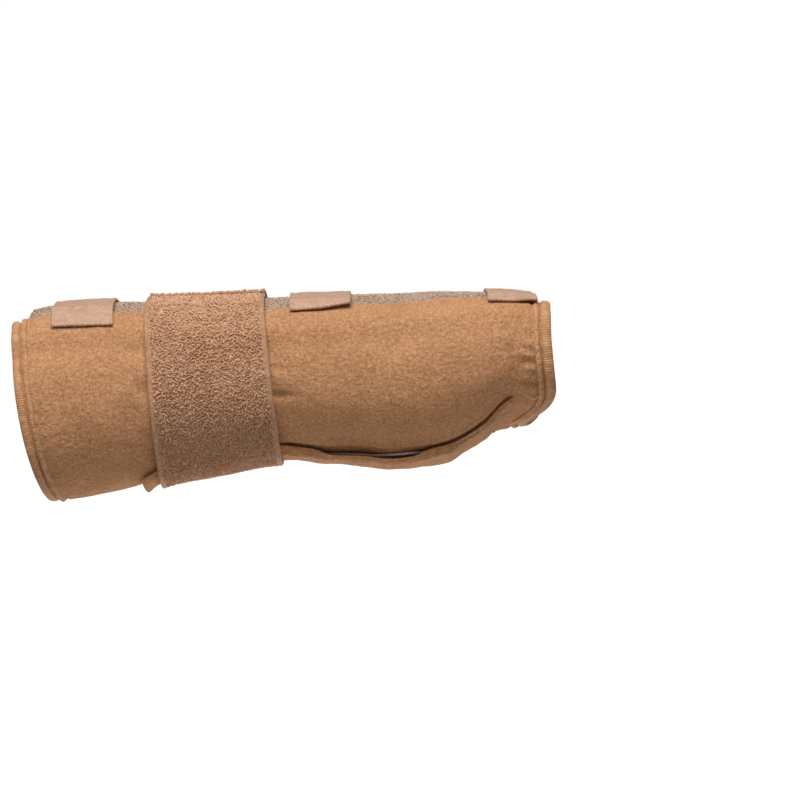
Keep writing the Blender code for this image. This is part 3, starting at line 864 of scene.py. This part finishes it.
# %% The sleeve
TUCK = 2.0 * MM
across = steps_with_edges(195 * MM, 1.15 * MM)
along = steps_with_edges(205 * MM, 0.95 * MM)
x, share = places_between(
    across, along, near_edge, far_edge,
    lambda share: forearm_edge(share) + TUCK, lambda share: knuckle_edge(share) - TUCK,
)
sleeve, sleeve_face = cloth_slab(
    "sleeve", x, share, lap_height(x, share), PANEL_THICKNESS, SLEEVE,
    relief=sleeve_relief(x, share), rim=1.1 * MM, opening=hole_size(x, share) - TUCK,
)
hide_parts("sleeve_panel")
print("sleeve grid", x.shape)

# %% [markdown]
# ## Binding tapes
# A tape folded over a raw edge and sewn through hides the foam. It is built as a tube with a flattened
# section that runs along the edge, drawn in a little at each stitch.

# %% Bindings at both ends and round the thumb hole
def end_line(edge, inset, height, steps=330):
    """Points and ways out along an end of the sleeve, from its near edge to its far one."""
    shares = np.linspace(0.0, 1.0, steps)
    share = lerp(near_edge(edge(0.12)), far_edge(edge(0.88)), shares)
    for _ in range(4):
        x = edge(share) + inset
        share = lerp(near_edge(x), far_edge(x), shares)
    x = edge(share) + inset
    return lay(x, share, lap_height(x, share) + height), looked_up(NORMALS, x, share), x, share


TAPE_RISE = 1.75 * MM


def bound_end(name, node, edge, inward, roll, ridge_place):
    """The rolled edge of an end of the sleeve, and the folded inner edge that the stitches hold down."""
    line, out, _, _ = end_line(edge, inward * roll / 2, PANEL_THICKNESS / 2)
    tape = folded_tape(
        name + "_tape", line, out, roll / 2 + 0.1 * MM, TAPE_RISE, BINDING, pucker=0.07
    )
    line, out, _, _ = end_line(edge, inward * ridge_place, PANEL_THICKNESS - 0.25 * MM, 420)
    folded_tape(
        name + "_fold", line, out, 1.05 * MM, 0.85 * MM, BINDING, pucker=0.10, onto=tape
    )
    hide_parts(node)
    return tape


cuff_tape = bound_end("cuff", "forearm_binding", forearm_edge, 1.0, 3.3 * MM, 5.0 * MM)
knuckle_tape = bound_end("knuckle", "knuckle_binding", knuckle_edge, -1.0, 3.9 * MM, 5.6 * MM)
x, share = thumb_outline(1.7 * MM, 260)
thumb_tape = folded_tape(
    "thumb_tape", lay(x, share, PANEL_THICKNESS / 2), looked_up(NORMALS, x, share), 1.9 * MM, TAPE_RISE,
    BINDING, closed=True, pucker=0.07,
)
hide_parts("thumb_binding")
x, share = thumb_outline(4.9 * MM, 300)
folded_tape(
    "thumb_fold", lay(x, share, PANEL_THICKNESS - 0.25 * MM), looked_up(NORMALS, x, share),
    1.05 * MM, 0.85 * MM, BINDING, closed=True, pucker=0.10, onto=thumb_tape,
)

# %% [markdown]
# ## The strip on the back of the hand
# A stretchy knit with a loop face joins the sleeve's two edges. It is tucked under both, so it lies a
# little lower. Its loops are finer than the strap's.

# %% Loops of yarn
def loops(name, x, share, height, span, rise, radius, finish, seed, straight=False):
    """A pile of small arches that stand on a face, each turned and leaned its own way."""
    rng = np.random.default_rng(seed)
    count = len(x)
    out = looked_up(NORMALS, x, share)
    forward = lay(x + 0.5 * MM, share, 0.0) - lay(x - 0.5 * MM, share, 0.0)
    forward /= np.linalg.norm(forward, axis=1, keepdims=True)
    side = np.cross(out, forward)
    turn = rng.uniform(0.0, 2 * math.pi, count)
    across = forward * np.cos(turn)[:, None] + side * np.sin(turn)[:, None]
    lean = np.cross(out, across) * rng.uniform(-0.8, 0.8, count)[:, None]
    spans = span * rng.uniform(0.7, 1.3, count)
    rises = rise * rng.uniform(0.65, 1.15, count)
    angles = np.linspace(0.0, math.pi, 5)
    base = lay(x, share, height)
    if straight:
        base[:, 0] = x
    arch = (
        base[:, None]
        + across[:, None] * (np.cos(angles) * 0.5)[None, :, None] * spans[:, None, None]
        + (out + lean)[:, None] * (np.sin(angles) - 0.12)[None, :, None] * rises[:, None, None]
    )
    return threads(name, arch, radius, finish, sides=3)


def scattered(start, end, low, high, pitch, seed):
    """Places x and share over a band, evenly spread with some jitter."""
    rng = np.random.default_rng(seed)
    made_x, made_share = [], []
    for place, x_here in enumerate(np.arange(start, end, pitch * 0.87)):
        length = float((high(x_here) - low(x_here)) * girth(x_here))
        arcs = np.arange(pitch * (0.25 + 0.5 * (place % 2)), length, pitch)
        arcs = arcs + rng.uniform(-0.3, 0.3, len(arcs)) * pitch
        made_x.append(x_here + rng.uniform(-0.3, 0.3, len(arcs)) * pitch)
        made_share.append(low(x_here) + arcs / girth(x_here))
    return np.concatenate(made_x), np.concatenate(made_share)


# %% The dorsal strip
across = steps_with_edges(70 * MM, 2.0 * MM)
along = steps_with_edges(205 * MM, 2.0 * MM)
x, share = places_between(
    across, along, lambda x: -hidden_edge(x), hidden_edge,
    lambda share: forearm_edge(share) + 4.8 * MM, lambda share: knuckle_edge(share % 1.0) - 4.8 * MM,
)
dorsal, _ = cloth_slab(
    "dorsal_strip", x, share, 0.0, DORSAL_THICKNESS, DORSAL_GROUND,
    relief=0.15 * MM * wavy(x, share, 9 * MM, 1.7) - 0.3 * MM, rim=1.1 * MM,
)
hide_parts("dorsal_panel")
x, share = scattered(
    -68.0 * MM, 128.5 * MM, lambda x: -near_edge(x) + 0.004, lambda x: near_edge(x) - 0.004, 1.35 * MM, 11
)
on_strip = (x > forearm_edge(share) + 6.0 * MM) & (x < knuckle_edge(share % 1.0) - 6.0 * MM)
x, share = x[on_strip], share[on_strip]
dorsal_pile = loops(
    "dorsal_loops", x, share, DORSAL_THICKNESS - 0.55 * MM, 1.3 * MM, 0.75 * MM, 0.22 * MM,
    DORSAL_YARN, 12,
)

# %% [markdown]
# ## The stay and its pocket
# The stay slips into a cloth pocket that is sewn over the palm side. The pocket's forearm end is open and
# curls away, and a slit in its edge shows the bright edge of the metal. Right of the strap the pocket
# narrows to a slanted point at the base of the thumb.

# %% The pocket and the stay
x, share = places_between(
    steps_with_edges(37 * MM, 1.0 * MM), steps_with_edges(147 * MM, 1.0 * MM), pocket_near, pocket_far,
    lambda share: POCKET_START + 0.0 * share, lambda share: POCKET_END + 0.0 * share,
)
curl = 0.7 * MM * (1.0 - smooth(POCKET_START, POCKET_START + 5.0 * MM, x)) ** 2
folds = 0.20 * MM * wavy(x, share, 8 * MM, 5.5) + 0.10 * MM * wavy(x, share, 3 * MM, 2.2)
from_seam = (share - pocket_near(x)) * girth(x)
sewn = (1.0 - in_mouth(x)) * smooth(24 * MM, 30 * MM, x)
folds = folds - 0.6 * MM * ridge(from_seam, 0.5 * MM, 1.0 * MM) * sewn + 0.35 * MM * ridge(from_seam, 2.6 * MM, 1.2 * MM)
pocket, _ = cloth_slab(
    "pocket", x, share, pocket_height(x, share) + curl, POCKET_THICKNESS, SLEEVE,
    relief=folds, rim=0.9 * MM,
)
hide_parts("stay_pocket")
x, share = places_between(
    steps_with_edges(30 * MM, 3.0 * MM, 0.5 * MM), steps_with_edges(90 * MM, 3.0 * MM, 0.5 * MM),
    lambda x: 0.5 + (stay_near_arc(x) + 2.6 * MM * (1.0 - smooth(58 * MM, 68 * MM, x))) / girth(x),
    lambda x: 0.5 + stay_far_arc(x) / girth(x),
    lambda share: STAY_START + 0.0 * share, lambda share: STAY_END + 0.0 * share,
)
stay, _ = cloth_slab(
    "stay", x, share, PANEL_THICKNESS + SEAT_GAP, STAY_THICKNESS, METAL, rim=0.4 * MM
)
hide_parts("palmar_stay")

# %% [markdown]
# ## The wrist strap
# The strap goes once round the wrist and on over its own beginning, where its hooks hold it. Its face is a
# coarse pile of curly loops between two plain selvedges, so it is built as a slab for the ground cloth and
# several thousand small arches of yarn.

# %% The strap
STRAP_WIDTH = 45.5 * MM
STRAP_PLACE = 1.8 * MM
STRAP_THICKNESS = 2.0 * MM
STRAP_LAP = 30.0 * MM
STRAP_START = -0.20
STRAP_LEFT = STRAP_PLACE - STRAP_WIDTH / 2
STRAP_RIGHT = STRAP_PLACE + STRAP_WIDTH / 2
strap_line = band_table(STRAP_LEFT - 2.2 * MM, STRAP_RIGHT)


def strap_height(x, share):
    ramp = STRAP_LAP / girth(x) / 2
    rise = smooth(STRAP_START + 1.0 - ramp, STRAP_START + 1.0 - ramp / 10, share)
    return strap_line(x, share) + (STRAP_THICKNESS + SEAT_GAP) * rise


def strap_left(share):
    return STRAP_LEFT - 2.2 * MM * np.sin(math.pi * share) ** 2


def strap_end(x):
    return STRAP_START + 1.0 + STRAP_LAP / girth(x)


x, share = places_between(
    steps_with_edges(245 * MM, 1.1 * MM), steps_with_edges(STRAP_WIDTH, 1.1 * MM),
    lambda x: STRAP_START + 0.0 * x, strap_end,
    strap_left, lambda share: STRAP_RIGHT + 0.0 * share,
)
from_side = np.minimum(x - strap_left(share), STRAP_RIGHT - x)
ground = -0.85 * MM * smooth(1.3 * MM, 2.2 * MM, from_side) + 0.12 * MM * wavy(x, share, 10 * MM, 9.9)
ground = ground - 0.25 * MM * ridge(from_side, 1.7 * MM, 0.4 * MM)
strap, _ = cloth_slab(
    "strap", x, share, strap_height(x, share), STRAP_THICKNESS, STRAP_GROUND,
    relief=ground, rim=0.8 * MM, straight=True,
)
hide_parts("wrist_strap")
for name, low, high, seed in (
    ("strap_loops_near", lambda x: STRAP_START + 0.005, lambda x: 0.42 + 0.0 * x, 21),
    ("strap_loops_far", lambda x: 0.42 + 0.0 * x, lambda x: strap_end(x) - 0.006, 31),
):
    x, share = scattered(STRAP_LEFT - 0.6 * MM, STRAP_RIGHT - 1.5 * MM, low, high, 1.05 * MM, seed)
    inside = x > strap_left(share) + 1.6 * MM
    x, share = x[inside], share[inside]
    loops(
        name, x, share, strap_height(x, share) + STRAP_THICKNESS - 0.95 * MM, 0.95 * MM, 0.90 * MM,
        0.27 * MM, STRAP_YARN, seed + 1, straight=True,
    )

# %% [markdown]
# ## Hook tabs
# Three short tapes reach from the thumb's side over the opening and hold its near edge. Each is a woven
# twill tape with plain selvedges. Two of them lift a little at a corner, as worn tapes do.

# %% The tabs
TAB_THICKNESS = 1.2 * MM


def hook_tab(name, node, place, width, reach, lift_right, lift_left):
    """A tape over the opening, lifted by so much at its two corners on the near side."""
    line = band_table(place - width / 2, place + width / 2)
    x, share = places_between(
        steps_with_edges(reach + 40 * MM, 0.9 * MM), steps_with_edges(width, 0.9 * MM),
        lambda x: -40.0 * MM / girth(x), lambda x: reach / girth(x),
        lambda share: place - width / 2 + 0.0 * share, lambda share: place + width / 2 + 0.0 * share,
    )
    to_end = reach - share * girth(x)
    aside = (x - place) / (width / 2)
    corner = smooth(9 * MM, 0.0 * MM, to_end)
    lift = corner * (lift_right * smooth(-0.2, 1.0, aside) + lift_left * smooth(0.2, -1.0, aside))
    selvedge = smooth(0.80, 0.86, np.abs(aside))
    relief = 0.10 * MM * wavy(x, share, 6 * MM, 4.4) - 0.18 * MM * ridge(np.abs(aside), 0.82, 0.03)
    tab, _ = cloth_slab(
        name, x, share, line(x, share % 1.0) + lift, TAB_THICKNESS, HOOK_TAPE,
        relief=relief + 0.10 * MM * selvedge, rim=0.5 * MM,
    )
    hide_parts(node)
    return tab


tab_cuff = hook_tab("tab_cuff", "hook_tab_forearm", -45.0 * MM, 23.0 * MM, 29.5 * MM, 0.1 * MM, 0.3 * MM)
tab_wrist = hook_tab("tab_wrist", "hook_tab_wrist", 45.8 * MM, 23.5 * MM, 24.5 * MM, 1.2 * MM, 0.2 * MM)
tab_hand = hook_tab("tab_hand", "hook_tab_knuckle", HAND_LENGTH - 15.2 * MM, 17.5 * MM, 34.0 * MM, 1.5 * MM, 0.2 * MM)

# %% [markdown]
# ## Stitches
# Lockstitch shows as a row of short threads with small gaps. The seams that show are along both bindings,
# round the thumb hole and along the pocket.

# %% Rows of stitches
rows = []
for edge, inset, height in (
    (forearm_edge, 5.0 * MM, 1.80 * MM), (knuckle_edge, -5.6 * MM, 1.80 * MM),
):
    line, out, _, _ = end_line(edge, inset, PANEL_THICKNESS / 2 + height)
    rows.append(stitches_on(line, out, 2.6 * MM, 2.0 * MM))
end_stitches = threads("end_stitches", np.concatenate(rows), 0.19 * MM, THREAD)

x, share = thumb_outline(4.9 * MM, 260)
x, share = np.append(x, x[0]), np.append(share, share[0])
thumb_stitches = threads(
    "thumb_stitches",
    stitches_on(lay(x, share, PANEL_THICKNESS + 0.6 * MM), looked_up(NORMALS, x, share), 2.6 * MM, 2.0 * MM),
    0.19 * MM, THREAD,
)

rows = []
for start, end in ((26.0 * MM, 40.0 * MM), (80.0 * MM, 112.0 * MM)):
    x = np.linspace(start, end, 80)
    share = pocket_near(x) + 2.0 * MM / girth(x)
    line = lay(x, share, pocket_height(x, share) + POCKET_THICKNESS)
    rows.append(stitches_on(line, looked_up(NORMALS, x, share), 2.8 * MM, 2.1 * MM))
seam_stitches = threads("seam_stitches", np.concatenate(rows), 0.18 * MM, THREAD)

# %% [markdown]

# %% [markdown]
# ## The studio
# The brace is seen from the little finger's side, a few degrees from above, over a plain pale floor. A wide
# soft light hangs over it, and the floor throws some of that light back up from below.

# %% Floor
floor_mesh = bpy.data.meshes.new("floor")
size, level = 4.0, -0.16
floor_mesh.from_pydata(
    [(-size, -size, level), (size, -size, level), (size, size, level), (-size, size, level)], [], [(0, 1, 2, 3)]
)
floor = bpy.data.objects.new("floor", floor_mesh)
bpy.context.scene.collection.objects.link(floor)
paper = bpy.data.materials.new("white_seamless_paper")
paper.use_nodes = True
paper_shader = paper.node_tree.nodes["Principled BSDF"]
paper_shader.inputs["Base Color"].default_value = linear("#B4B2B0")
paper_shader.inputs["Roughness"].default_value = 0.9
paper_seen = add(paper.node_tree, "ShaderNodeLightPath").outputs["Is Camera Ray"]
paper_shader.inputs["Emission Color"].default_value = linear("#FFFFFF")
paper.node_tree.links.new(paper_seen, paper_shader.inputs["Emission Strength"])
floor_mesh.materials.append(paper)

# %% Lights and world
def soft_light(name, place, aim, size, power, hex_code):
    lamp = bpy.data.lights.new(name, "AREA")
    lamp.shape = "DISK"
    lamp.size = size
    lamp.energy = power
    lamp.color = linear(hex_code)[:3]
    holder = bpy.data.objects.new(name, lamp)
    holder.location = place
    holder.rotation_euler = (Vector(aim) - Vector(place)).to_track_quat("-Z", "Y").to_euler()
    holder.visible_camera = False
    bpy.context.scene.collection.objects.link(holder)


soft_light("overhead", (0.03, -0.57, 0.82), (0.03, 0.0, 0.0), 0.8, 11.5, "#FFFDFA")
soft_light("card_below", (0.03, 0.055, -0.15), (0.03, 0.0, 0.0), 0.26, 0.30, "#FFF6F0")
world = bpy.data.worlds.new("white_studio")
world.use_nodes = True
bpy.context.scene.world = world
backdrop = world.node_tree.nodes["Background"]
backdrop.inputs["Color"].default_value = (1.0, 1.0, 1.0, 1.0)
seen = add(world.node_tree, "ShaderNodeLightPath")
way_up = add(
    world.node_tree, "ShaderNodeSeparateXYZ",
    {"Vector": add(world.node_tree, "ShaderNodeTexCoord").outputs["Generated"]},
)
dome = add(
    world.node_tree, "ShaderNodeMapRange",
    {"Value": way_up.outputs["Z"], "From Min": 0.0, "From Max": 0.9, "To Min": 0.06, "To Max": 0.26},
)
bright = add(
    world.node_tree, "ShaderNodeMapRange",
    {"Value": seen.outputs["Is Camera Ray"], "To Min": dome.outputs["Result"], "To Max": 1.0},
)
world.node_tree.links.new(bright.outputs["Result"], backdrop.inputs["Strength"])
bpy.context.scene.view_settings.view_transform = "Standard"

# %% Camera
lens = bpy.data.cameras.new("camera")
lens.lens = 150.0
lens.sensor_width = 36.0
camera = bpy.data.objects.new("camera", lens)
aim = Vector((0.0723, 0.0, -0.0122))
away, rise, lean = 1.30, math.radians(3.0), math.radians(6.2)
camera.location = aim + away * Vector((0.0, -math.cos(rise), math.sin(rise)))
upright = (aim - camera.location).to_track_quat("-Z", "Y")
camera.rotation_euler = (upright @ Vector((0, 0, 1)).rotation_difference(Vector((0, 0, 1)))).to_euler()
camera.rotation_euler.rotate_axis("Z", -lean)
bpy.context.scene.collection.objects.link(camera)
bpy.context.scene.camera = camera
